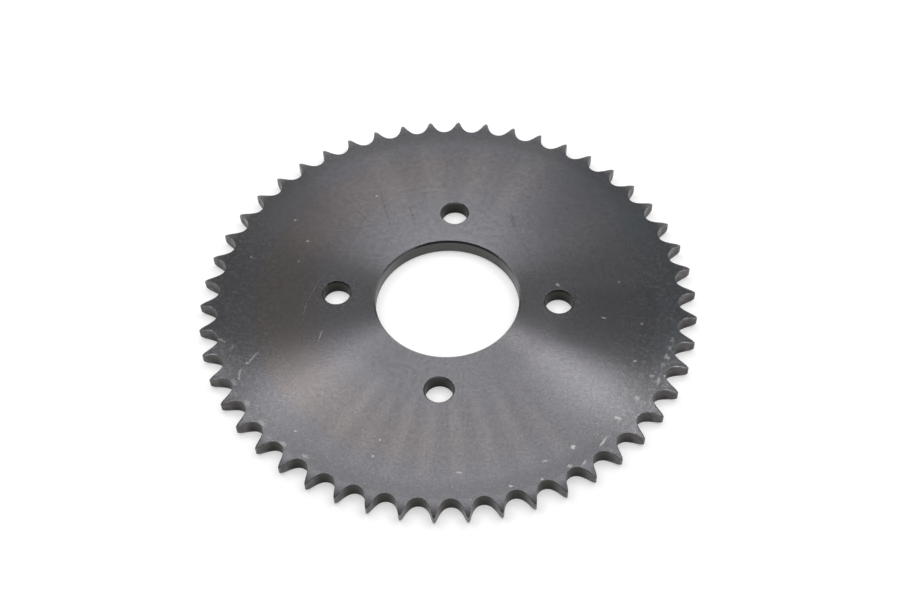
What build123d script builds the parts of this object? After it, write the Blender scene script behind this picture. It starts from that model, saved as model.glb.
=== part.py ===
from build123d import *
import os
from math import hypot, radians, sin, sqrt

# A chain sprocket cut from one flat steel plate, with teeth for a roller chain
# round its rim, a large centre bore and a circle of bolt holes.
# Sizes are in millimetres and angles in degrees. The origin is on the bore's
# axis in the plane of the rear face, with +Z through the plate to its front.

# The chain that the teeth carry
chain_pitch = 12.7
roller_diameter = 8.51
seat_clearance = 0.06

# Plate
plate_thickness = 7.0

# Teeth: the first one is turned from the bolt hole on +X by tooth_phase
tooth_count = 50
tooth_phase = 4.8
tip_land = 0.5

# Standard roller-chain tooth form: each angle is a base less a share over the
# tooth count, and each arc's centre is a number of roller diameters away
seat_angle_base = 55.0
seat_angle_share = 60.0
flank_angle_base = 18.0
flank_angle_share = 56.0
flank_centre_rollers = 0.8
crown_centre_rollers = 1.4

# Rounded relief that thins each tooth towards its tip, on both faces
relief_depth = 7.2
relief_width = 1.65

# Centre bore
bore_diameter = 60.8
bore_chamfer = 0.8

# Bolt holes, the first one on +X
bolt_hole_count = 4
bolt_circle_diameter = 94.0
bolt_hole_diameter = 11.6
bolt_hole_chamfer = 0.6

# How far a cutting shape runs past the face that it cuts
overrun = 1.0

half_pitch_angle = 180 / tooth_count
pitch_radius = chain_pitch / (2 * sin(radians(half_pitch_angle)))


def polar(radius, angle):
    """Return the point at a radius and an angle from +X."""
    return Vector(radius, 0).rotate(Axis.Z, angle)


def arc_about(centre, start, end):
    """Return the shorter arc from start to end about a centre."""
    outwards = ((start + end) / 2 - centre).normalized()
    return ThreePointArc(start, centre + outwards * (start - centre).length, end)


class ToothForm:
    """Points and radii of one side of a tooth space that is centred on +X."""

    def __init__(self):
        seat_angle = seat_angle_base - seat_angle_share / tooth_count
        flank_angle = flank_angle_base - flank_angle_share / tooth_count
        roller = Vector(pitch_radius, 0)
        seat_radius = roller_diameter / 2 + seat_clearance
        flank_offset = flank_centre_rollers * roller_diameter
        crown_offset = crown_centre_rollers * roller_diameter

        # Concave seat for the roller, from the root to where the flank starts
        self.root = roller + polar(seat_radius, 180)
        self.seat_end = roller + polar(seat_radius, 180 - seat_angle)

        # Wider concave flank, which leaves the seat on the same tangent
        flank_start_angle = 180 - seat_angle
        flank_end_angle = flank_start_angle - flank_angle
        self.flank_centre = roller - polar(flank_offset, flank_start_angle)
        flank_radius = seat_radius + flank_offset
        self.flank_end = self.flank_centre + polar(flank_radius, flank_end_angle)

        # Straight run up to the convex crown, whose centre is near the next roller
        heading = polar(1, flank_end_angle - 90)
        self.crown_centre = roller + polar(crown_offset, 90 + half_pitch_angle)
        straight = (self.crown_centre - self.flank_end).dot(heading)
        self.crown_start = self.flank_end + heading * straight

        # The crown runs on to the tooth's centre line, and the plate's rim trims it
        centre_line = polar(1, half_pitch_angle)
        crown_radius = (self.crown_centre - self.crown_start).length
        along = self.crown_centre.dot(centre_line)
        across = centre_line.cross(self.crown_centre).Z
        self.point = centre_line * (along + sqrt(crown_radius**2 - across**2))
        land_across = across + tip_land / 2
        self.rim_radius = hypot(along + sqrt(crown_radius**2 - land_across**2), tip_land / 2)


def tooth_space(form):
    """Return the edges of one tooth space, from tooth point to tooth point."""
    flank = arc_about(form.flank_centre, form.seat_end, form.flank_end)
    straight = Line(form.flank_end, form.crown_start)
    crown = arc_about(form.crown_centre, form.crown_start, form.point)
    upper_side = [flank, straight, crown]
    lower_side = [edge.mirror(Plane.XZ) for edge in upper_side]
    seat = ThreePointArc(lower_side[0] @ 0, form.root, form.seat_end)
    return lower_side + [seat] + upper_side


def toothed_outline(form):
    """Return the outline of every tooth space round the plate."""
    edges = []
    for tooth in range(tooth_count):
        angle = tooth_phase + half_pitch_angle * (2 * tooth + 1)
        edges += [edge.rotate(Axis.Z, angle) for edge in tooth_space(form)]
    return make_face(edges)


def plate_blank(rim_radius):
    """Return the turned blank, thinned by the relief on both faces at its rim."""
    relief_start = rim_radius - relief_depth
    rear_centre = Vector(0, 0, 0)
    rear_start = Vector(relief_start, 0, 0)
    rear_rim = Vector(rim_radius, 0, relief_width)
    front_rim = Vector(rim_radius, 0, plate_thickness - relief_width)
    front_start = Vector(relief_start, 0, plate_thickness)
    front_centre = Vector(0, 0, plate_thickness)
    section = [
        Line(rear_centre, rear_start),
        TangentArc(rear_start, rear_rim, tangent=(1, 0, 0)),
        Line(rear_rim, front_rim),
        TangentArc(front_start, front_rim, tangent=(1, 0, 0)),
        Line(front_start, front_centre),
        Line(front_centre, rear_centre),
    ]
    return revolve(make_face(section), Axis.Z)


def chamfered_drill(diameter, chamfer):
    """Return the solid that cuts a hole with a 45 degree chamfer on both faces."""
    radius = diameter / 2
    mouth_radius = radius + chamfer + overrun
    section = Polyline(
        (0, 0, -overrun),
        (mouth_radius, 0, -overrun),
        (radius, 0, chamfer),
        (radius, 0, plate_thickness - chamfer),
        (mouth_radius, 0, plate_thickness + overrun),
        (0, 0, plate_thickness + overrun),
        close=True,
    )
    return revolve(make_face(section), Axis.Z)


def sprocket_plate():
    """Return the finished sprocket: blank, teeth, bore and bolt holes."""
    form = ToothForm()
    teeth = Pos(0, 0, -overrun) * toothed_outline(form)
    plate = plate_blank(form.rim_radius) & extrude(teeth, plate_thickness + 2 * overrun)
    plate -= chamfered_drill(bore_diameter, bore_chamfer)
    bolt_drill = chamfered_drill(bolt_hole_diameter, bolt_hole_chamfer)
    bolt_places = PolarLocations(bolt_circle_diameter / 2, bolt_hole_count)
    return plate - [place * bolt_drill for place in bolt_places]


os.makedirs("parts", exist_ok=True)
export_step(sprocket_plate(), "parts/sprocket_plate.step")
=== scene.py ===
"""Looks of a chain sprocket: one turned and blackened steel plate on a pale studio floor."""

from __future__ import annotations

import logging
import math
from dataclasses import dataclass
from enum import Enum

import bmesh
import bpy
from mathutils import Matrix, Vector

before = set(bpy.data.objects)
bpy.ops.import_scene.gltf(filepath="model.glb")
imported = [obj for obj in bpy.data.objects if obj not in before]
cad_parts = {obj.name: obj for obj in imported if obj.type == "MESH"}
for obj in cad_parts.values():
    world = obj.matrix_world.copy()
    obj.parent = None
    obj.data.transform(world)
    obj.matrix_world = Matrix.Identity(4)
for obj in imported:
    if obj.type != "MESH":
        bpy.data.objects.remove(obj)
log = logging.getLogger("sprocket")

Colour = tuple[float, float, float]
Span = tuple[float, float]
Socket = bpy.types.NodeSocket

MM = 0.001

# How much a surface's unit normal rises: hardly on a wall, more on a chamfer, fully on a face
WALL_RISE: Span = (0.55, 0.45)
CHAMFER_LOW_RISE: Span = (0.50, 0.60)
CHAMFER_HIGH_RISE: Span = (0.82, 0.76)

# Heights in millimetres between which the rear gives way to the front
FRONT_HEIGHT: Span = (3.0, 4.0)


class Kind(Enum):
    """Socket kinds of a node group."""

    NUMBER = "NodeSocketFloat"
    PLACE = "NodeSocketVector"


class Graph:
    """A shader node tree with short ways to place and join nodes."""

    def __init__(self, tree: bpy.types.NodeTree) -> None:
        """Keeps the tree and empties it.

        Args:
            tree: the node tree of a material, a world or a node group.
        """
        self.tree = tree
        self.tree.nodes.clear()

    def node(self, kind: str, **settings: object) -> bpy.types.Node:
        """Adds a node and applies its settings.

        Args:
            kind: the node's type name.
            settings: attributes to set on the node.

        Returns:
            The new node.
        """
        made = self.tree.nodes.new(kind)
        for name, value in settings.items():
            setattr(made, name, value)
        return made

    def feed(self, socket: Socket, value: Socket | float | Colour | Vector) -> None:
        """Links a socket to an input, or sets a plain value on it.

        Args:
            socket: the input to feed.
            value: an output socket, a number, a colour or a vector.
        """
        if isinstance(value, bpy.types.NodeSocket):
            self.tree.links.new(value, socket)
        elif socket.type == "RGBA":
            socket.default_value = (*value, 1.0)
        else:
            socket.default_value = value

    def maths(self, operation: str, *values: Socket | float) -> Socket:
        """Adds a Math node.

        Args:
            operation: Blender's name of the operation.
            values: its operands in order.

        Returns:
            The result.
        """
        made = self.node("ShaderNodeMath", operation=operation)
        for socket, value in zip(made.inputs, values):
            self.feed(socket, value)
        return made.outputs[0]

    def times(self, first: Socket | float, *others: Socket | float) -> Socket | float:
        """Multiplies values.

        Args:
            first: the first of them.
            others: the others in order.

        Returns:
            Their product.
        """
        for value in others:
            first = self.maths("MULTIPLY", first, value)
        return first

    def highest(self, first: Socket | float, *others: Socket | float) -> Socket | float:
        """Finds the highest of some values.

        Args:
            first: the first of them.
            others: the others in order.

        Returns:
            The highest.
        """
        for value in others:
            first = self.maths("MAXIMUM", first, value)
        return first

    def vectors(self, operation: str, *values: Socket | Vector | tuple) -> bpy.types.Node:
        """Adds a Vector Math node.

        Args:
            operation: Blender's name of the operation.
            values: its vector operands in order.

        Returns:
            The node, whose outputs are Vector and Value.
        """
        made = self.node("ShaderNodeVectorMath", operation=operation)
        for socket, value in zip(made.inputs, values):
            self.feed(socket, value)
        return made

    def length(self, vector: Socket) -> Socket:
        """Returns a vector's length."""
        return self.vectors("LENGTH", vector).outputs["Value"]

    def scaled(self, vector: Socket, factor: Socket | float) -> Socket:
        """Scales a vector.

        Args:
            vector: the vector.
            factor: what its parts are multiplied by.

        Returns:
            The scaled vector.
        """
        made = self.node("ShaderNodeVectorMath", operation="SCALE")
        self.feed(made.inputs[0], vector)
        self.feed(made.inputs["Scale"], factor)
        return made.outputs[0]

    def parts(self, vector: Socket) -> tuple[Socket, Socket, Socket]:
        """Splits a vector.

        Args:
            vector: the vector.

        Returns:
            Its X, Y and Z.
        """
        made = self.node("ShaderNodeSeparateXYZ")
        self.feed(made.inputs[0], vector)
        return made.outputs[0], made.outputs[1], made.outputs[2]

    def vector(self, x: Socket | float, y: Socket | float, z: Socket | float) -> Socket:
        """Joins a vector from its parts.

        Args:
            x: its X.
            y: its Y.
            z: its Z.

        Returns:
            The vector.
        """
        made = self.node("ShaderNodeCombineXYZ")
        for socket, value in zip(made.inputs, (x, y, z)):
            self.feed(socket, value)
        return made.outputs[0]

    def step(self, value: Socket, span: Span) -> Socket:
        """Adds a smooth step.

        Args:
            value: what is compared.
            span: the values where the step starts and where it ends, in either order.

        Returns:
            0 before the start and 1 past the end, with a soft change between.
        """
        start, end = span
        made = self.node("ShaderNodeMapRange", interpolation_type="SMOOTHSTEP")
        self.feed(made.inputs["Value"], value)
        self.feed(made.inputs["From Min"], min(span))
        self.feed(made.inputs["From Max"], max(span))
        self.feed(made.inputs["To Min"], 0.0 if start < end else 1.0)
        self.feed(made.inputs["To Max"], 1.0 if start < end else 0.0)
        return made.outputs[0]

    def noise(self, place: Socket, scale: float, detail: float = 2.0, rough: float = 0.5) -> Socket:
        """Adds a noise texture.

        Args:
            place: where it is read.
            scale: its frequency.
            detail: its octaves.
            rough: how strong the finer octaves are.

        Returns:
            Its value, mostly between 0.2 and 0.8.
        """
        made = self.node("ShaderNodeTexNoise")
        self.feed(made.inputs["Vector"], place)
        self.feed(made.inputs["Scale"], scale)
        self.feed(made.inputs["Detail"], detail)
        self.feed(made.inputs["Roughness"], rough)
        return made.outputs["Fac"]

    def mix(self, share: Socket | float, first: Socket | float, second: Socket | float) -> Socket:
        """Mixes two numbers.

        Args:
            share: how much of the second there is.
            first: the first.
            second: the second.

        Returns:
            The number between them.
        """
        made = self.node("ShaderNodeMix", data_type="FLOAT")
        self.feed(made.inputs[0], share)
        self.feed(made.inputs[2], first)
        self.feed(made.inputs[3], second)
        return made.outputs[0]

    def mix_vectors(self, share: Socket, first: Socket, second: Socket | tuple) -> Socket:
        """Mixes two vectors.

        Args:
            share: how much of the second there is.
            first: the first.
            second: the second.

        Returns:
            The vector between them.
        """
        made = self.node("ShaderNodeMix", data_type="VECTOR")
        self.feed(made.inputs[0], share)
        self.feed(made.inputs[4], first)
        self.feed(made.inputs[5], second)
        return made.outputs[1]

    def mix_colours(
        self, share: Socket | float, first: Socket | Colour, second: Socket | Colour, blend: str = "MIX"
    ) -> Socket:
        """Mixes two colours.

        Args:
            share: how much of the second there is.
            first: the colour below.
            second: the colour above.
            blend: Blender's name of the way that they mix.

        Returns:
            The mixed colour.
        """
        made = self.node("ShaderNodeMix", data_type="RGBA", blend_type=blend)
        self.feed(made.inputs[0], share)
        self.feed(made.inputs[6], first)
        self.feed(made.inputs[7], second)
        return made.outputs[2]

    def lightened(self, colour: Socket | Colour, level: Socket) -> Socket:
        """Returns a colour times a level."""
        return self.mix_colours(1.0, colour, self.vector(level, level, level), "MULTIPLY")

    def use(self, group: bpy.types.NodeTree, **values: object) -> bpy.types.Node:
        """Places a node group and feeds its inputs.

        Args:
            group: the group.
            values: what feeds each input, by its name.

        Returns:
            The group's node.
        """
        made = self.node("ShaderNodeGroup", node_tree=group)
        for name, value in values.items():
            self.feed(made.inputs[name], value)
        return made


class Group(Graph):
    """A node group with named sockets."""

    def __init__(self, name: str, inputs: dict[str, Kind], outputs: dict[str, Kind]) -> None:
        """Makes the group and its sockets.

        Args:
            name: the group's name.
            inputs: its input sockets and their kinds.
            outputs: its output sockets and their kinds.
        """
        super().__init__(bpy.data.node_groups.new(name, "ShaderNodeTree"))
        for way, sockets in (("INPUT", inputs), ("OUTPUT", outputs)):
            for title, kind in sockets.items():
                self.tree.interface.new_socket(name=title, in_out=way, socket_type=kind.value)
        self.given = self.node("NodeGroupInput").outputs
        self.wanted = self.node("NodeGroupOutput").inputs

    def give(self, **values: Socket) -> bpy.types.NodeTree:
        """Feeds the group's outputs.

        Args:
            values: what feeds each output, by its name.

        Returns:
            The group's tree.
        """
        for name, value in values.items():
            self.feed(self.wanted[name], value)
        return self.tree


def plate_place() -> bpy.types.NodeTree:
    """Builds the group that says where a point of the plate is, in millimetres.

    Returns:
        A group with Place, Radius, Outward, the unit vector away from the axis, and
        masks: Wall on the upright walls of teeth, bore and holes, Chamfer on the
        chamfers, and Front on what belongs to the front face.
    """
    group = Group(
        "plate_place",
        {},
        {
            "Place": Kind.PLACE,
            "Radius": Kind.NUMBER,
            "Outward": Kind.PLACE,
            "Wall": Kind.NUMBER,
            "Chamfer": Kind.NUMBER,
            "Front": Kind.NUMBER,
        },
    )
    source = group.node("ShaderNodeTexCoord").outputs
    place = group.scaled(source["Object"], 1 / MM)
    x, y, height = group.parts(place)
    flat = group.vector(x, y, 0.0)
    _, _, rise = group.parts(source["Normal"])
    upright = group.maths("ABSOLUTE", rise)
    return group.give(
        Place=place,
        Radius=group.length(flat),
        Outward=group.vectors("NORMALIZE", flat).outputs[0],
        Wall=group.step(upright, WALL_RISE),
        Chamfer=group.times(group.step(upright, CHAMFER_HIGH_RISE), group.step(upright, CHAMFER_LOW_RISE)),
        Front=group.step(height, FRONT_HEIGHT),
    )


def turned_marks() -> bpy.types.NodeTree:
    """Builds the group of marks that a lathe leaves, fine rings about the plate's axis.

    Returns:
        A group from Radius, Outward, Spacing in millimetres and Sweep, how often a
        ring changes in a turn, to Mark, a height from 0 to 1.
    """
    group = Group(
        "turned_marks",
        {"Radius": Kind.NUMBER, "Outward": Kind.PLACE, "Spacing": Kind.NUMBER, "Sweep": Kind.NUMBER},
        {"Mark": Kind.NUMBER},
    )
    given = group.given
    x, y, _ = group.parts(group.scaled(given["Outward"], given["Sweep"]))
    ring = group.maths("DIVIDE", given["Radius"], given["Spacing"])
    return group.give(Mark=group.noise(group.vector(x, y, ring), 1.0, 3.0, 0.6))


def patches() -> bpy.types.NodeTree:
    """Builds the group of uneven patches, as an oxide skin has.

    Returns:
        A group from Place, Size of a patch in millimetres, and Low and High, the
        levels of the noise between which a patch starts, to Mask.
    """
    group = Group(
        "patches",
        {"Place": Kind.PLACE, "Size": Kind.NUMBER, "Low": Kind.NUMBER, "High": Kind.NUMBER},
        {"Mask": Kind.NUMBER},
    )
    given = group.given
    scaled = group.scaled(given["Place"], group.maths("DIVIDE", 1.0, given["Size"]))
    made = group.node("ShaderNodeMapRange", interpolation_type="SMOOTHSTEP")
    group.feed(made.inputs["Value"], group.noise(scaled, 1.0, 4.0, 0.6))
    group.feed(made.inputs["From Min"], given["Low"])
    group.feed(made.inputs["From Max"], given["High"])
    return group.give(Mask=made.outputs[0])


def rays() -> bpy.types.NodeTree:
    """Builds the group of evenly spaced rays, which run outwards over a turned face.

    Returns:
        A group from Outward, and the First ray, the Spacing, both in radians, and the
        Last ray's number, counted from 0, to Mask.
    """
    soft_edge = (0.36, 0.10)
    group = Group(
        "rays",
        {"Outward": Kind.PLACE, "First": Kind.NUMBER, "Spacing": Kind.NUMBER, "Last": Kind.NUMBER},
        {"Mask": Kind.NUMBER},
    )
    given = group.given
    x, y, _ = group.parts(given["Outward"])
    past = group.maths("SUBTRACT", group.maths("ARCTAN2", y, x), given["First"])
    count = group.maths("DIVIDE", past, given["Spacing"])
    nearest = group.maths("MINIMUM", given["Last"], group.maths("ROUND", count))
    nearest = group.highest(0.0, nearest)
    away = group.maths("ABSOLUTE", group.maths("SUBTRACT", count, nearest))
    return group.give(Mask=group.step(away, soft_edge))


def rubbed_mark() -> bpy.types.NodeTree:
    """Builds the group of one mark, a soft-edged oval on the faces.

    Returns:
        A group from Place, its Middle, Turn in radians, Length and Width in
        millimetres, Strength and Ragged, which breaks its outline, to Mask.
    """
    soft_edge = (1.3, 0.3)
    group = Group(
        "rubbed_mark",
        {
            "Place": Kind.PLACE,
            "Middle": Kind.PLACE,
            "Turn": Kind.NUMBER,
            "Length": Kind.NUMBER,
            "Width": Kind.NUMBER,
            "Strength": Kind.NUMBER,
            "Ragged": Kind.NUMBER,
        },
        {"Mask": Kind.NUMBER},
    )
    given = group.given
    moved = group.vectors("SUBTRACT", given["Place"], given["Middle"]).outputs[0]
    turned = group.node("ShaderNodeVectorRotate", rotation_type="Z_AXIS")
    group.feed(turned.inputs["Vector"], moved)
    group.feed(turned.inputs["Angle"], group.times(given["Turn"], -1.0))
    x, y, _ = group.parts(turned.outputs[0])
    along = group.maths("DIVIDE", x, group.times(given["Length"], 0.5))
    across = group.maths("DIVIDE", y, group.times(given["Width"], 0.5))
    reach = group.maths("ADD", group.length(group.vector(along, across, 0.0)), given["Ragged"])
    return group.give(Mask=group.times(group.step(reach, soft_edge), given["Strength"]))


def flecks() -> bpy.types.NodeTree:
    """Builds the group of small pale flecks, one for some cells of a random pattern.

    Returns:
        A group from Place, Size of a cell and Share of the cells that have one, to Mask.
    """
    smallest, largest = 0.05, 0.16
    soft_edge = (-0.03, 0.06)
    group = Group(
        "flecks",
        {"Place": Kind.PLACE, "Size": Kind.NUMBER, "Share": Kind.NUMBER},
        {"Mask": Kind.NUMBER},
    )
    given = group.given
    cells = group.node("ShaderNodeTexVoronoi", feature="F1", voronoi_dimensions="2D")
    group.feed(cells.inputs["Scale"], 1.0)
    size = group.maths("DIVIDE", 1.0, given["Size"])
    group.feed(cells.inputs["Vector"], group.scaled(given["Place"], size))
    pick, spread, _ = group.parts(cells.outputs["Color"])
    there = group.maths("LESS_THAN", pick, given["Share"])
    inside = group.maths("SUBTRACT", group.mix(spread, smallest, largest), cells.outputs["Distance"])
    return group.give(Mask=group.times(group.step(inside, soft_edge), there))


def worn_edge() -> bpy.types.NodeTree:
    """Builds the group that finds edges, where handling has rubbed the black away and where a painted
    highlight lines the tooth tips.

    Returns:
        A group from Reach in metres to Edge, 1 on an edge, and Normal, rounded there.
    """
    same_way = (0.995, 0.9)
    group = Group(
        "worn_edge",
        {"Reach": Kind.NUMBER},
        {"Edge": Kind.NUMBER, "Normal": Kind.PLACE},
    )
    rounded = group.node("ShaderNodeBevel", samples=8)
    group.feed(rounded.inputs["Radius"], group.given["Reach"])
    flat = group.node("ShaderNodeNewGeometry")
    same = group.vectors("DOT_PRODUCT", rounded.outputs[0], flat.outputs["Normal"]).outputs["Value"]
    return group.give(Edge=group.step(same, same_way), Normal=rounded.outputs[0])


@dataclass(frozen=True)
class Mark:
    """One mark on the front face: its middle and size in millimetres and its turn in degrees."""

    x: float
    y: float
    length: float
    width: float
    turn: float = 0.0
    strength: float = 1.0

    @classmethod
    def line(cls, start: Span, end: Span, width: float, strength: float) -> Mark:
        """Makes a long thin mark.

        Args:
            start: the X and Y where it starts.
            end: the X and Y where it ends.
            width: its width.
            strength: how plain it is, from 0 to 1.

        Returns:
            The mark.
        """
        way = Vector(end) - Vector(start)
        middle = (Vector(end) + Vector(start)) / 2
        turn = math.degrees(math.atan2(way.y, way.x))
        return cls(middle.x, middle.y, way.length, width, turn, strength)


def specks() -> tuple[Mark, ...]:
    """Returns the small bare specks on the front face."""
    return (
        Mark(-35.4, 55.4, 1.3, 1.1, strength=0.5),
        Mark(-79.2, -38.3, 1.4, 1.2),
        Mark(-81.5, -45.9, 1.0, 0.9),
        Mark(91.7, -26.7, 1.5, 1.3),
        Mark(90.4, -35.6, 1.1, 1.6),
        Mark(-70.2, 39.5, 1.3, 1.1, strength=0.4),
        Mark(-62.9, 27.7, 1.3, 1.1, strength=0.4),
        Mark(-65.3, 16.3, 1.1, 1.0, strength=0.5),
        Mark(-86.4, 17.5, 1.2, 1.0, strength=0.5),
        Mark(46.4, 8.8, 1.8, 1.4, strength=0.8),
        Mark(65.8, -7.7, 1.8, 0.7),
        Mark(81.5, -10.0, 1.1, 0.8),
        Mark(78.4, -28.9, 1.2, 0.8),
        Mark(72.1, 11.7, 1.1, 1.0, strength=0.5),
        Mark(54.0, -71.1, 2.0, 1.5, 30.0, 0.9),
        Mark(42.4, -86.0, 1.0, 0.9),
        Mark(30.7, -89.8, 1.4, 0.9),
        Mark(-55.2, -69.7, 1.0, 0.8),
        Mark(-23.3, -79.4, 1.0, 0.8),
        Mark(-21.3, -72.0, 0.9, 0.8),
        Mark(10.5, -84.9, 2.2, 0.8),
    )


def scuffs() -> tuple[Mark, ...]:
    """Returns the streaks and scuffs on the front face, most of them near the rim."""
    line = Mark.line
    return (
        line((64.4, -70.1), (67.1, -65.8), 0.9, 1.0),
        line((-79.0, -38.1), (-75.5, -32.3), 0.8, 1.0),
        line((-93.9, -26.4), (-90.0, -28.1), 1.0, 1.0),
        line((-87.4, -32.0), (-86.1, -29.4), 1.4, 0.5),
        line((-81.6, -41.2), (-81.5, -45.8), 0.9, 0.9),
        line((93.2, -18.6), (94.2, -16.4), 1.6, 0.6),
        line((92.3, -22.8), (93.1, -20.4), 1.3, 0.8),
        line((90.6, -26.8), (91.5, -24.8), 1.2, 0.9),
        line((89.2, -31.2), (90.2, -29.4), 1.4, 0.7),
        line((87.2, -40.0), (88.0, -36.5), 1.4, 0.9),
        line((84.6, -36.6), (85.8, -35.2), 1.8, 0.7),
        line((78.2, -47.6), (79.8, -46.3), 2.0, 0.8),
        line((79.2, -54.9), (81.0, -54.9), 1.2, 0.6),
        line((69.9, -56.4), (72.9, -57.0), 1.2, 1.0),
        line((57.6, -79.4), (59.1, -76.7), 0.9, 0.6),
        line((52.0, -79.9), (54.0, -79.5), 1.6, 0.6),
        line((42.4, -78.2), (44.2, -77.8), 1.2, 0.6),
        line((-84.2, -46.4), (-82.2, -49.4), 2.2, 0.42),
        line((-77.4, -56.2), (-75.0, -59.0), 2.2, 0.42),
        line((-70.2, -65.6), (-67.4, -68.0), 2.2, 0.42),
        line((-60.6, -75.0), (-57.8, -76.8), 2.2, 0.42),
        line((-51.2, -80.2), (-48.2, -81.8), 2.0, 0.42),
        line((-50.6, -19.5), (-51.5, -25.9), 0.5, 0.75),
        line((-59.0, -5.4), (-59.6, -12.7), 0.5, 0.45),
        line((-55.0, 6.9), (-58.8, -5.0), 0.5, 0.35),
    )


def dark_scratches() -> tuple[Mark, ...]:
    """Returns the scratches that show darker than the face."""
    return (
        Mark.line((-35.0, 60.8), (-27.3, 36.4), 0.6, 0.26),
        Mark.line((-20.6, 50.7), (-15.9, 37.5), 0.6, 0.30),
        Mark.line((-51.1, 54.9), (-28.6, 30.7), 0.8, 0.10),
        Mark.line((26.8, 39.8), (24.9, 47.9), 2.4, 0.25),
    )


@dataclass(frozen=True)
class Patch:
    """Uneven patches: their size in millimetres and the noise between which one starts."""

    size: float
    noise: Span


@dataclass(frozen=True)
class Mottle:
    """Patches that lighten and darken the face, by so much in its far and in its near half."""

    patch: Patch
    far: float
    near: float


@dataclass(frozen=True)
class RayFan:
    """Faint rays on the face: the first one's angle from +X and their spacing, in degrees."""

    first: float
    spacing: float
    count: int


# A Span's name says what it holds. Right, across, far and away are shares of a point's
# radius: how far it lies to the right, to either side, to the far side, and to the far or
# the near side. Aslant and facing compare directions, rise is a height in millimetres,
# wear and rings are levels. The others are distances, in millimetres unless MM is in them.


@dataclass(frozen=True)
class OxideSkin:
    """The faces' black oxide skin: cool, with a warm ring, faint rays and a relief at the rim.

    Colours are of the bare reflection at right angles. The rays are partly the oxide's tint and
    partly painted reflections of lamps; the relief has painted shade on the near side and
    painted light on the far side.
    """

    plain: Colour = (0.199, 0.197, 0.213)
    warm: Colour = (0.216, 0.196, 0.196)
    warm_start: Span = (48.0, 68.0)
    warm_end: Span = (88.0, 78.0)
    warm_right: Span = (1.0, -1.1)
    rim_start: Span = (79.0, 88.0)
    cool_rim: Colour = (0.183, 0.199, 0.216)
    cool_right: Span = (0.2, 0.8)
    cool_far: Span = (-0.45, -0.15)
    clouds: Patch = Patch(26.0, (0.3, 0.7))
    cloud_strength: float = 0.15

    relief: Colour = (0.215, 0.208, 0.224)
    relief_start: Span = (96.6, 103.2)
    # Painted shade: the relief on the near side is much darker
    shaded_near_relief: Colour = (0.080, 0.075, 0.082)
    near_relief_far: Span = (-0.6, -0.9)
    # Painted light: the relief on the far side is lighter
    lit_far_relief: Colour = (0.335, 0.325, 0.345)
    far_relief_start: Span = (97.5, 101.5)
    far_relief_far: Span = (0.1, 0.5)

    # The rays: partly the oxide's tint and partly painted reflections of a row of lamps
    ray_fans: tuple[RayFan, ...] = (RayFan(-119.2, 9.05, 8), RayFan(67.5, 16.0, 4))
    ray: Colour = (1.078, 1.065, 1.055)
    between_rays: Colour = (0.952, 0.957, 0.967)
    ray_start: Span = (46.0, 60.0)
    ray_end: Span = (93.0, 85.0)
    ray_away: Span = (0.3, 0.8)
    ray_breaks: Patch = Patch(9.0, (0.25, 0.7))
    weakest_ray: float = 0.45


@dataclass(frozen=True)
class FaceLight:
    """Painted light and shade on the faces from place to place, as factors on the skin's colour; only the
    mottles and the rings are the skin's own uneven tone.
    """

    # Painted shade: the faces darken outwards, more on the far side
    outward_shade_middle: float = 65.0
    fade: float = 0.0056
    far_outward_shade: float = 0.0030
    # Painted shade towards the rim at the far and the near side
    rim_shade: float = 0.86
    rim_shade_start: Span = (87.0, 95.0)
    rim_shade_away: Span = (0.3, 0.9)

    near_half_far: Span = (0.0, -0.2)
    # Painted light in lobes in the two near quarters, about half way out
    lobe_light: float = 1.16
    lobe_turn: float = 7.0
    lobe_aslant: Span = (0.80, 0.98)
    lobe_start: Span = (42.0, 54.0)
    lobe_end: Span = (90.0, 66.0)

    # Painted shade in lobes towards the rim and on the relief, in the near half
    shade_middle: float = 0.015
    lobe_shade: float = 0.75
    shade_start: Span = (76.0, 100.0)
    shade_across: Span = (0.53, 0.76)
    shade_across_end: Span = (0.94, 0.84)
    relief_shade: float = 0.64
    relief_start: Span = (96.6, 99.0)
    relief_end: Span = (103.2, 101.5)

    # Painted highlight near the rim beside the shade lobes
    rim_glow: float = 1.32
    glow_start: Span = (90.0, 97.0)
    glow_across: Span = (0.88, 0.93)
    glow_across_end: Span = (1.0, 0.955)

    # Painted shade in a wedge on the right
    wedge_shade: float = 0.86
    wedge_turn: float = -8.0
    wedge_facing: Span = (0.95, 0.985)
    wedge_start: Span = (44.0, 54.0)
    wedge_end: Span = (92.0, 84.0)

    # The skin's own uneven tone and turned rings
    mottle_far: Span = (0.2, -0.3)
    mottles: tuple[Mottle, ...] = (
        Mottle(Patch(2.2, (0.25, 0.75)), 0.16, 0.11),
        Mottle(Patch(1.0, (0.3, 0.7)), 0.16, 0.22),
    )
    rings: Span = (0.92, 1.08)


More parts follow.
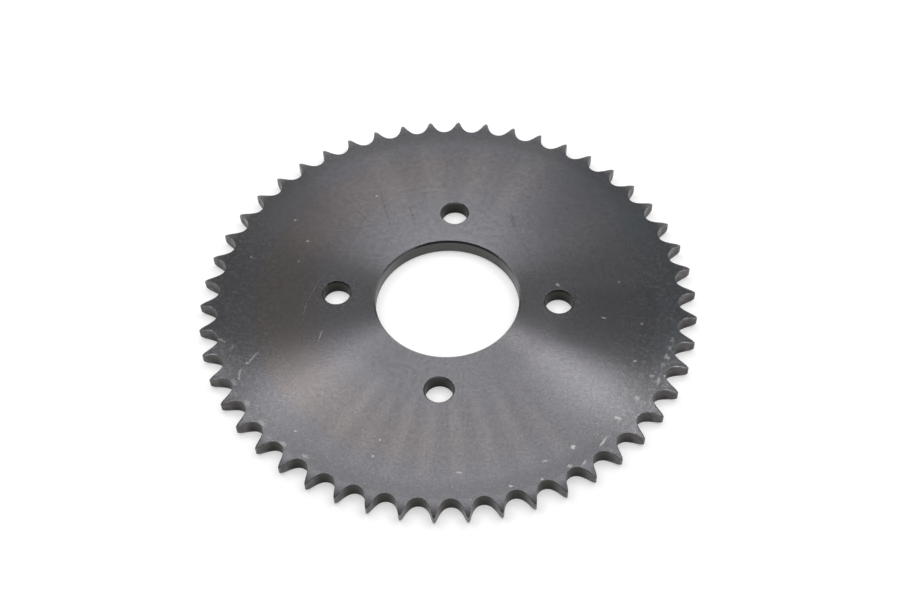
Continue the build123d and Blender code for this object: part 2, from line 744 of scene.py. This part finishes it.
@dataclass(frozen=True)
class CutWalls:
    """The upright walls and the chamfers, which keep less of the black where they are worn; the walls'
    darker bottoms and the side holes' chamfers are painted shade, and the bore's far chamfer is a painted
    highlight.
    """

    # Painted shade: the walls are darker at the bottom than at the top
    shaded_foot: Colour = (0.019, 0.017, 0.015)
    top: Colour = (0.046, 0.046, 0.040)
    rise: Span = (0.0, 7.0)
    worn: Colour = (0.117, 0.111, 0.112)
    worn_across: Span = (0.62, 0.9)
    teeth_start: Span = (80.0, 82.0)
    flank_start: Span = (98.4, 101.0)
    blotches: Patch = Patch(2.4, (0.35, 0.65))
    least_worn: float = 0.4
    # Painted shade: the worn walls' level is lower towards the bottom, and higher on the far side than on
    # the near side
    wall_shading_rise: Span = (0.5, 6.5)
    near_wall_shading: Span = (0.50, 0.95)
    far_wall_shading: Span = (0.95, 2.1)
    wall_shading_far: Span = (-0.2, 0.45)
    unshaded_wall_start: Span = (100.0, 102.0)
    bore: Colour = (0.086, 0.087, 0.083)
    bore_side: Colour = (0.145, 0.144, 0.140)
    bore_across: Span = (0.65, 0.9)
    bore_end: Span = (32.1, 31.6)
    roughness: float = 0.34

    # Painted highlight on the bore's far chamfer, painted shade on the left and the right hole's chamfers
    lit_chamfer: Colour = (0.205, 0.202, 0.214)
    dull_chamfer: Colour = (0.122, 0.120, 0.126)
    shaded_side_chamfer: Colour = (0.070, 0.069, 0.073)
    bore_chamfer_end: Span = (35.0, 34.0)
    bright_far: Span = (0.1, 0.35)
    side_across: Span = (0.6, 0.9)
    bore_chamfer_roughness: float = 0.14
    hole_chamfer_roughness: float = 0.45


@dataclass(frozen=True)
class Wear:
    """Where handling has rubbed the black thin or away, and the painted highlight along the tooth tips."""

    scuffed: Colour = (0.62, 0.60, 0.58)
    scuff_roughness: float = 0.62
    scuff_strength: float = 0.55
    ragged_scale: float = 1.3
    ragged: float = 3.0

    handled_far: Span = (0.55, 0.15)
    fleck_size: float = 2.6
    fleck_share: float = 0.3
    fleck_strength: float = 0.10
    fleck_start: Span = (82.0, 92.0)
    stipple: Patch = Patch(1.5, (0.50, 0.64))
    stipple_strength: float = 0.10
    stipple_start: Span = (62.0, 96.0)
    stipple_across: Span = (0.5, 0.95)

    bolt_circle_radius: float = 47.0
    bolt_rub: Patch = Patch(1.7, (0.52, 0.66))
    bolt_rub_strength: float = 0.10
    bolt_rub_end: Span = (13.0, 8.5)
    bolt_rub_across: Span = (0.6, 0.9)

    # Edges rubbed bare, and at the tooth tips also a painted highlight
    edge: Colour = (0.42, 0.41, 0.42)
    edge_reach: float = 0.10 * MM
    edge_strength: float = 0.08
    # Painted highlight: the tips' edge line is widened and strengthened
    tip_start: Span = (98.0, 100.0)
    tip_highlight_reach: float = 0.90 * MM
    tip_highlight_strength: float = 0.5
    chips: Patch = Patch(1.5, (0.38, 0.62))
    least_chipped: float = 0.4


@dataclass(frozen=True)
class BlackenedSteel:
    """Turned steel with a black oxide skin, worn grey where it is handled."""

    skin: OxideSkin = OxideSkin()
    # Painted light and shade on the faces
    light: FaceLight = FaceLight()
    walls: CutWalls = CutWalls()
    wear: Wear = Wear()
    roughness: float = 0.267
    stretch: float = 0.90
    ring_spacing: float = 0.55
    ring_sweep: float = 3.0
    ring_depth: float = 0.0006 * MM
    ring_strength: float = 0.5
    upright_lay_end: Span = (60.0 * MM, 59.0 * MM)


class Plate:
    """The sprocket's one piece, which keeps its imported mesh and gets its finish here."""

    def __init__(self, steel: BlackenedSteel) -> None:
        """Keeps the finish and starts the material.

        Args:
            steel: what the plate is dressed in.
        """
        self.steel = steel
        self.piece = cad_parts["sprocket_plate"]
        self.material = bpy.data.materials.new("turned_blackened_steel")
        self.material.use_nodes = True
        self.graph = Graph(self.material.node_tree)
        self.patches = patches()
        self.mark = rubbed_mark()

        where = self.graph.use(plate_place()).outputs
        self.place, self.radius, self.outward = where["Place"], where["Radius"], where["Outward"]
        self.wall, self.chamfer, self.front = where["Wall"], where["Chamfer"], where["Front"]
        self.right, self.far, _ = self.graph.parts(self.outward)
        self.across = self.graph.maths("ABSOLUTE", self.right)
        self.away = self.graph.maths("ABSOLUTE", self.far)
        self.rings = self.turned_rings()
        self.ragged = self.ragged_outline()
        self.in_bore = self.graph.step(self.radius, steel.walls.bore_chamfer_end)

    def turned_rings(self) -> Socket:
        """Returns the height of the turned rings, from 0 to 1."""
        steel = self.steel
        return self.graph.use(
            turned_marks(),
            Radius=self.radius,
            Outward=self.outward,
            Spacing=steel.ring_spacing,
            Sweep=steel.ring_sweep,
        ).outputs["Mark"]

    def ragged_outline(self) -> Socket:
        """Returns what breaks the outlines of marks."""
        uneven = self.graph.noise(self.place, self.steel.wear.ragged_scale)
        return self.graph.times(self.graph.maths("SUBTRACT", uneven, 0.5), self.steel.wear.ragged)

    def patch(self, patch: Patch) -> Socket:
        """Places uneven patches.

        Args:
            patch: which patches.

        Returns:
            1 in a patch and 0 beside it.
        """
        low, high = patch.noise
        uneven = self.graph.use(self.patches, Place=self.place, Size=patch.size, Low=low, High=high)
        return uneven.outputs["Mask"]

    def marks(self, marks: tuple[Mark, ...]) -> Socket:
        """Places marks on the front face.

        Args:
            marks: the marks.

        Returns:
            1 where a mark is plain and 0 beside them all.
        """
        graph = self.graph
        total: Socket | float = 0.0
        for mark in marks:
            mask = graph.use(
                self.mark,
                Place=self.place,
                Middle=(mark.x, mark.y, 0.0),
                Turn=math.radians(mark.turn),
                Length=mark.length,
                Width=mark.width,
                Strength=mark.strength,
                Ragged=self.ragged,
            ).outputs["Mask"]
            total = graph.highest(total, mask)
        return graph.times(total, self.front)

    def face_colour(self) -> Socket:
        """Mixes the faces' colour.

        Returns:
            The colour, with the warm ring, the cool rim, the clouds, the relief with painted shade
            on the near side and painted light on the far side, and the rays, partly painted
            reflections, on it, and with the painted light and shade of each place.
        """
        graph, skin = self.graph, self.steel.skin
        warm = graph.times(
            graph.step(self.radius, skin.warm_start),
            graph.step(self.radius, skin.warm_end),
            graph.step(self.right, skin.warm_right),
        )
        colour = graph.mix_colours(warm, skin.plain, skin.warm)
        cool = graph.times(graph.step(self.right, skin.cool_right), graph.step(self.far, skin.cool_far))
        rim = graph.mix_colours(cool, skin.plain, skin.cool_rim)
        colour = graph.mix_colours(graph.step(self.radius, skin.rim_start), colour, rim)
        cloud = graph.times(self.patch(skin.clouds), skin.cloud_strength)
        colour = graph.mix_colours(cloud, colour, skin.warm)

        # Painted shade on the near side's relief and painted light on the far side's relief
        relief = graph.mix_colours(graph.step(self.far, skin.near_relief_far), skin.relief, skin.shaded_near_relief)
        colour = graph.mix_colours(graph.step(self.radius, skin.relief_start), colour, relief)
        lit_far_relief = graph.times(
            graph.step(self.radius, skin.far_relief_start), graph.step(self.far, skin.far_relief_far)
        )
        colour = graph.mix_colours(lit_far_relief, colour, skin.lit_far_relief)
        # The rays, partly the oxide's tint and partly painted reflections
        colour = graph.mix_colours(1.0, colour, self.ray_tint_and_sheen(), "MULTIPLY")
        # Painted light and shade of each place, with the skin's own mottles and rings
        return graph.lightened(colour, self.face_level())

    def ray_tint_and_sheen(self) -> Socket:
        """Mixes the faint rays on the near and the far side of the front face: partly the oxide's tint and
        partly painted reflections of a row of lamps.

        Returns:
            The tint and painted reflection, white where the rays don't reach.
        """
        graph, skin = self.graph, self.steel.skin
        ray = rays()
        total: Socket | float = 0.0
        for fan in skin.ray_fans:
            mask = graph.use(
                ray,
                Outward=self.outward,
                First=math.radians(fan.first),
                Spacing=math.radians(fan.spacing),
                Last=fan.count - 1.0,
            ).outputs["Mask"]
            total = graph.highest(total, mask)
        total = graph.times(total, graph.mix(self.patch(skin.ray_breaks), skin.weakest_ray, 1.0))
        tint = graph.mix_colours(total, skin.between_rays, skin.ray)
        reach = graph.times(
            graph.step(self.radius, skin.ray_start),
            graph.step(self.radius, skin.ray_end),
            graph.step(self.away, skin.ray_away),
            self.front,
        )
        return graph.mix_colours(reach, (1.0, 1.0, 1.0), tint)

    def face_level(self) -> Socket:
        """Works out the painted light and shade on the faces.

        Returns:
            The level: painted shade outwards, painted light and shade round the plate, and the skin's own
                mottles and rings.
        """
        graph, light = self.graph, self.steel.light
        # Painted shade: darker outwards, more on the far side
        beyond = graph.maths("SUBTRACT", self.radius, light.outward_shade_middle)
        fade = graph.maths("MULTIPLY_ADD", self.far, light.far_outward_shade, light.fade)
        outward_shading = graph.maths("SUBTRACT", 1.0, graph.times(beyond, fade))
        rim = graph.times(
            graph.step(self.radius, light.rim_shade_start), graph.step(self.away, light.rim_shade_away)
        )
        level = graph.times(
            outward_shading,
            graph.mix(rim, 1.0, light.rim_shade),
            self.inner_lobes(),
            self.outer_lobes(),
            self.right_wedge(),
            graph.mix(self.rings, *light.rings),
        )
        near = graph.step(self.far, light.mottle_far)
        for mottle in light.mottles:
            uneven = graph.maths("SUBTRACT", self.patch(mottle.patch), 0.5)
            strength = graph.mix(near, mottle.far, mottle.near)
            level = graph.times(level, graph.maths("MULTIPLY_ADD", uneven, strength, 1.0))
        return level

    def inner_lobes(self) -> Socket:
        """Works out the painted light lobes in the two near quarters, about half way out.

        Returns:
            Their level, which is 1 beside them.
        """
        graph, light = self.graph, self.steel.light
        turn = math.radians(2 * light.lobe_turn)
        double_sine = graph.times(self.right, self.far, 2 * math.cos(turn))
        squares = graph.maths(
            "SUBTRACT", graph.times(self.right, self.right), graph.times(self.far, self.far)
        )
        aslant = graph.maths("SUBTRACT", double_sine, graph.times(squares, math.sin(turn)))
        lobe = graph.times(
            graph.step(graph.maths("ABSOLUTE", aslant), light.lobe_aslant),
            graph.step(self.far, light.near_half_far),
            graph.step(self.radius, light.lobe_start),
            graph.step(self.radius, light.lobe_end),
        )
        return graph.mix(lobe, 1.0, light.lobe_light)

    def outer_lobes(self) -> Socket:
        """Works out the painted lobes towards the rim in the near half: painted shade, and painted
        highlights beside them.

        Returns:
            Their level, which is 1 elsewhere.
        """
        graph, light = self.graph, self.steel.light
        near = graph.step(self.far, light.near_half_far)
        across = graph.maths("ABSOLUTE", graph.maths("SUBTRACT", self.right, light.shade_middle))
        lobe = graph.times(
            graph.step(across, light.shade_across), graph.step(across, light.shade_across_end), near
        )
        relief = graph.times(
            graph.step(self.radius, light.relief_start), graph.step(self.radius, light.relief_end)
        )
        shade = graph.times(
            graph.mix(graph.step(self.radius, light.shade_start), 1.0, light.lobe_shade),
            graph.mix(relief, 1.0, light.relief_shade),
        )
        glow = graph.times(
            graph.step(across, light.glow_across),
            graph.step(across, light.glow_across_end),
            graph.step(self.radius, light.glow_start),
            near,
        )
        return graph.times(graph.mix(lobe, 1.0, shade), graph.mix(glow, 1.0, light.rim_glow))

    def right_wedge(self) -> Socket:
        """Works out the painted shade wedge on the right.

        Returns:
            Its level, which is 1 beside it.
        """
        graph, light = self.graph, self.steel.light
        turn = math.radians(light.wedge_turn)
        way = (math.cos(turn), math.sin(turn), 0.0)
        facing = graph.vectors("DOT_PRODUCT", self.outward, way).outputs["Value"]
        wedge = graph.times(
            graph.step(facing, light.wedge_facing),
            graph.step(self.radius, light.wedge_start),
            graph.step(self.radius, light.wedge_end),
        )
        return graph.mix(wedge, 1.0, light.wedge_shade)

    def chamfer_colour(self) -> Socket:
        """Mixes the chamfers' colour.

        Returns:
            The colour: a painted highlight at the bore's far side, painted shade at the left and the right
                hole.
        """
        graph, walls = self.graph, self.steel.walls
        # Painted highlight on the bore's far side
        bright = graph.times(self.in_bore, graph.step(self.far, walls.bright_far))
        colour = graph.mix_colours(bright, walls.dull_chamfer, walls.lit_chamfer)
        # Painted shade on the left and the right hole's chamfers
        in_hole = graph.maths("SUBTRACT", 1.0, self.in_bore)
        aside = graph.times(graph.step(self.across, walls.side_across), in_hole)
        return graph.mix_colours(aside, colour, walls.shaded_side_chamfer)

    def wall_colour(self) -> Socket:
        """Mixes the upright walls' colour.

        Returns:
            The colour: black, darker at the bottom in painted shade, paler where the teeth are worn,
            with painted shade low on the worn walls, and paler again in the bore.
        """
        graph, walls = self.graph, self.steel.walls
        _, _, height = graph.parts(self.place)
        # Painted shade: darker towards the bottom of the walls
        black = graph.mix_colours(graph.step(height, walls.rise), walls.shaded_foot, walls.top)

        side = graph.times(
            graph.step(self.across, walls.worn_across), graph.step(self.radius, walls.teeth_start)
        )
        flank = graph.step(self.radius, walls.flank_start)
        blotch = graph.mix(self.patch(walls.blotches), walls.least_worn, 1.0)
        worn = graph.times(graph.highest(side, flank), blotch)
        # Painted shade: the worn walls darken towards the bottom, and are lighter on the far side
        rise = graph.step(height, walls.wall_shading_rise)
        near, far = graph.mix(rise, *walls.near_wall_shading), graph.mix(rise, *walls.far_wall_shading)
        wear = graph.mix(graph.step(self.far, walls.wall_shading_far), near, far)
        wear = graph.mix(graph.step(self.radius, walls.unshaded_wall_start), wear, 1.0)
        teeth = graph.mix_colours(worn, black, graph.lightened(walls.worn, wear))

        bore = graph.mix_colours(graph.step(self.across, walls.bore_across), walls.bore, walls.bore_side)
        return graph.mix_colours(graph.step(self.radius, walls.bore_end), teeth, bore)

    def bare_metal(self) -> Socket:
        """Works out where the faces and chamfers are rubbed bare.

        Returns:
            1 where the metal is bare and 0 where the skin is whole.
        """
        graph, wear = self.graph, self.steel.wear
        handled = graph.step(self.far, wear.handled_far)
        dots = graph.use(flecks(), Place=self.place, Size=wear.fleck_size, Share=wear.fleck_share)
        fleck = graph.times(
            dots.outputs["Mask"], graph.step(self.radius, wear.fleck_start), handled, wear.fleck_strength
        )
        stipple = graph.times(
            self.patch(wear.stipple),
            graph.step(self.radius, wear.stipple_start),
            graph.step(self.across, wear.stipple_across),
            handled,
            wear.stipple_strength,
        )
        bare = graph.highest(
            self.marks(specks()),
            graph.times(self.marks(scuffs()), wear.scuff_strength),
            fleck,
            stipple,
            self.bolt_rub(),
        )
        return graph.times(bare, graph.maths("SUBTRACT", 1.0, self.wall))

    def bolt_rub(self) -> Socket:
        """Works out the faint rubbing round the left and the right bolt hole.

        Returns:
            How far the metal is bare there, and 0 elsewhere.
        """
        graph, wear = self.graph, self.steel.wear
        x, y, _ = graph.parts(self.place)
        along = graph.maths("SUBTRACT", graph.maths("ABSOLUTE", x), wear.bolt_circle_radius)
        off_hole = graph.length(graph.vector(along, y, 0.0))
        return graph.times(
            self.patch(wear.bolt_rub),
            graph.step(off_hole, wear.bolt_rub_end),
            graph.step(self.across, wear.bolt_rub_across),
            wear.bolt_rub_strength,
            self.front,
        )

    def dress(self) -> None:
        """Gives the plate its steel."""
        graph, steel = self.graph, self.steel
        walls, wear = steel.walls, steel.wear
        bare = self.bare_metal()
        colour = graph.mix_colours(self.chamfer, self.face_colour(), self.chamfer_colour())
        colour = graph.mix_colours(self.wall, colour, self.wall_colour())
        colour = graph.mix_colours(bare, colour, wear.scuffed)
        colour = graph.mix_colours(self.marks(dark_scratches()), colour, walls.top)

        # Edges rubbed bare, and at the tooth tips a painted highlight
        at_tips = graph.step(self.radius, wear.tip_start)
        edge = graph.use(worn_edge(), Reach=graph.mix(at_tips, wear.edge_reach, wear.tip_highlight_reach)).outputs
        rubbed = graph.times(
            edge["Edge"],
            graph.mix(self.patch(wear.chips), wear.least_chipped, 1.0),
            graph.mix(at_tips, wear.edge_strength, wear.tip_highlight_strength),
        )
        colour = graph.mix_colours(rubbed, colour, wear.edge)

        cut = graph.mix(self.in_bore, walls.hole_chamfer_roughness, walls.bore_chamfer_roughness)
        rough = graph.mix(bare, steel.roughness, wear.scuff_roughness)
        rough = graph.mix(self.chamfer, rough, cut)
        rough = graph.mix(self.wall, rough, walls.roughness)

        bump = graph.node("ShaderNodeBump")
        graph.feed(bump.inputs["Strength"], steel.ring_strength)
        graph.feed(bump.inputs["Distance"], steel.ring_depth)
        graph.feed(bump.inputs["Height"], self.rings)
        graph.feed(bump.inputs["Normal"], edge["Normal"])

        shader = graph.node("ShaderNodeBsdfPrincipled")
        shader.inputs["Metallic"].default_value = 1.0
        shader.inputs["Anisotropic"].default_value = steel.stretch
        graph.feed(shader.inputs["Base Color"], colour)
        graph.feed(shader.inputs["Roughness"], rough)
        graph.feed(shader.inputs["Normal"], bump.outputs[0])
        graph.feed(shader.inputs["Tangent"], self.lay_of_marks())
        output = graph.node("ShaderNodeOutputMaterial")
        graph.feed(output.inputs["Surface"], shader.outputs[0])
        self.piece.material_slots[0].material = self.material
        log.info("dressed %s", self.piece.name)

    def lay_of_marks(self) -> Socket:
        """Works out the way across the tool marks, along which the steel spreads light.

        It reads no node group, because it feeds the shader's Tangent.

        Returns:
            The way: outwards on the faces, round the teeth's walls and up the others.
        """
        graph = self.graph
        source = graph.node("ShaderNodeTexCoord").outputs
        x, y, _ = graph.parts(source["Object"])
        flat = graph.vector(x, y, 0.0)
        outward = graph.vectors("NORMALIZE", flat).outputs[0]
        _, _, rise = graph.parts(source["Normal"])
        wall = graph.step(graph.maths("ABSOLUTE", rise), WALL_RISE)
        along_wall = graph.vectors("CROSS_PRODUCT", source["Normal"], (0.0, 0.0, 1.0)).outputs[0]
        upright = graph.step(graph.length(flat), self.steel.upright_lay_end)
        wall_lay = graph.mix_vectors(upright, along_wall, (0.0, 0.0, 1.0))
        way = graph.node("ShaderNodeVectorTransform", vector_type="VECTOR")
        way.convert_from = "OBJECT"
        way.convert_to = "WORLD"
        graph.feed(way.inputs[0], graph.mix_vectors(wall, outward, wall_lay))
        return way.outputs[0]


class Facing(Enum):
    """Which way a lamp faces, as its turn about X in degrees."""

    DOWN = 0.0
    FRONT = -90.0


@dataclass(frozen=True)
class SoftBox:
    """A flat lamp: its middle and sides in metres, its brightness and the way that it faces."""

    name: str
    middle: tuple[float, float, float]
    width: float
    depth: float
    brightness: float
    facing: Facing = Facing.DOWN

    def hang(self) -> None:
        """Makes the lamp, whose power gives its face the brightness."""
        lamp = bpy.data.lights.new(self.name, "AREA")
        lamp.shape = "RECTANGLE"
        lamp.size = self.width
        lamp.size_y = self.depth
        lamp.energy = self.brightness * math.pi * self.width * self.depth
        piece = bpy.data.objects.new(self.name, lamp)
        piece.location = self.middle
        piece.rotation_euler.x = math.radians(self.facing.value)
        piece.visible_camera = False
        bpy.context.scene.collection.objects.link(piece)
        log.info("hung %s", self.name)


@dataclass
class Studio:
    """The pale floor, the soft light and the camera, in metres and degrees, its lens in millimetres."""

    floor_reach: float = 14.0
    floor_sides: int = 96
    floor_drop: float = 0.00005
    floor_colour: Colour = (0.67, 0.67, 0.67)
    floor_roughness: float = 0.9
    floor_glow: float = 0.43
    glow_reach: Span = (0.2, 1.2)
    room: float = 0.31
    horizon: float = 1.0
    horizon_rise: Span = (0.18, 0.4)
    dark_side: tuple[float, float, float] = (-0.20, -0.85, 0.49)
    dark_edge: Span = (0.5, 0.75)
    dark_level: float = 0.06
    boxes: tuple[SoftBox, ...] = (
        SoftBox("overhead_box", (0.023, 0.029, 1.0), 1.77, 0.81, 1.97),
        SoftBox("left_box", (-0.463, 0.411, 0.999), 0.17, 0.22, 6.6),
        SoftBox("right_box", (0.370, 0.425, 0.999), 0.17, 0.135, 13.6),
        SoftBox("back_panel", (-0.14, 1.2, 1.065), 0.50, 0.19, 3.1, Facing.FRONT),
    )
    camera_place: tuple[float, float, float] = (0.03718, -0.36160, 0.47505)
    camera_aim: tuple[float, float, float] = (0.00073, 0.00384, 0.0)
    camera_roll: float = -2.19
    lens: float = 56.242
    sensor: float = 36.0

    def lay_floor(self) -> None:
        """Makes the floor, which shows white to the camera and keeps the shadow."""
        mesh = bpy.data.meshes.new("floor")
        shape = bmesh.new()
        bmesh.ops.create_circle(shape, cap_ends=True, segments=self.floor_sides, radius=self.floor_reach)
        bmesh.ops.translate(shape, verts=shape.verts, vec=(0.0, 0.0, -self.floor_drop))
        shape.to_mesh(mesh)
        shape.free()
        piece = bpy.data.objects.new("floor", mesh)
        bpy.context.scene.collection.objects.link(piece)
        mesh.materials.append(self.floor_material())
        log.info("laid the floor")

    def floor_material(self) -> bpy.types.Material:
        """Makes the floor's material.

        Returns:
            The material: pale, matt, and glowing where it is looked at.
        """
        material = bpy.data.materials.new("pale_floor")
        material.use_nodes = True
        graph = Graph(material.node_tree)
        path = graph.node("ShaderNodeLightPath").outputs
        looked_at = graph.highest(path["Is Camera Ray"], path["Is Glossy Ray"], path["Is Transmission Ray"])
        away = graph.length(graph.node("ShaderNodeTexCoord").outputs["Object"])
        glow = graph.mix(graph.step(away, self.glow_reach), self.floor_glow, 1.0)
        shader = graph.node("ShaderNodeBsdfPrincipled")
        graph.feed(shader.inputs["Base Color"], self.floor_colour)
        shader.inputs["Roughness"].default_value = self.floor_roughness
        shader.inputs["Specular IOR Level"].default_value = 0.0
        light = graph.node("ShaderNodeEmission")
        graph.feed(light.inputs["Strength"], graph.times(looked_at, glow))
        both = graph.node("ShaderNodeAddShader")
        graph.feed(both.inputs[0], shader.outputs[0])
        graph.feed(both.inputs[1], light.outputs[0])
        output = graph.node("ShaderNodeOutputMaterial")
        graph.feed(output.inputs["Surface"], both.outputs[0])
        return material

    def light_room(self) -> None:
        """Makes the world: a pale band above the floor, and over it a dim room with a dark side."""
        world = bpy.data.worlds.new("room")
        bpy.context.scene.world = world
        world.use_nodes = True
        graph = Graph(world.node_tree)
        way = graph.node("ShaderNodeTexCoord").outputs["Generated"]
        _, _, rise = graph.parts(way)
        aside = graph.vectors("DOT_PRODUCT", way, self.dark_side).outputs["Value"]
        room = graph.mix(graph.step(aside, self.dark_edge), self.room, self.dark_level)
        level = graph.mix(graph.step(rise, self.horizon_rise), self.horizon, room)
        light = graph.node("ShaderNodeBackground")
        graph.feed(light.inputs["Strength"], level)
        graph.feed(light.inputs["Color"], (1.0, 1.0, 1.0))
        output = graph.node("ShaderNodeOutputWorld")
        graph.feed(output.inputs["Surface"], light.outputs[0])
        log.info("lit the room")

    def set_camera(self) -> None:
        """Places the camera where the photograph was taken from."""
        lens = bpy.data.cameras.new("camera")
        lens.lens = self.lens
        lens.sensor_width = self.sensor
        camera = bpy.data.objects.new("camera", lens)
        place = Vector(self.camera_place)
        ahead = (Vector(self.camera_aim) - place).normalized()
        right = ahead.cross(Vector((0.0, 0.0, 1.0))).normalized()
        level = Matrix((right, right.cross(ahead), -ahead)).transposed()
        turn = level @ Matrix.Rotation(math.radians(self.camera_roll), 3, "Z")
        camera.matrix_world = Matrix.Translation(place) @ turn.to_4x4()
        bpy.context.scene.collection.objects.link(camera)
        bpy.context.scene.camera = camera
        log.info("placed the camera")

    def build(self) -> None:
        """Builds the camera, the floor and the light."""
        self.set_camera()
        self.lay_floor()
        self.light_room()
        for box in self.boxes:
            box.hang()
        bpy.context.scene.view_settings.view_transform = "Standard"


def main() -> None:
    """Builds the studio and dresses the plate."""
    logging.basicConfig(level=logging.INFO, format="%(name)s: %(message)s")
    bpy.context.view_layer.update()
    Studio().build()
    Plate(BlackenedSteel()).dress()


if __name__ == "__main__":
    main()
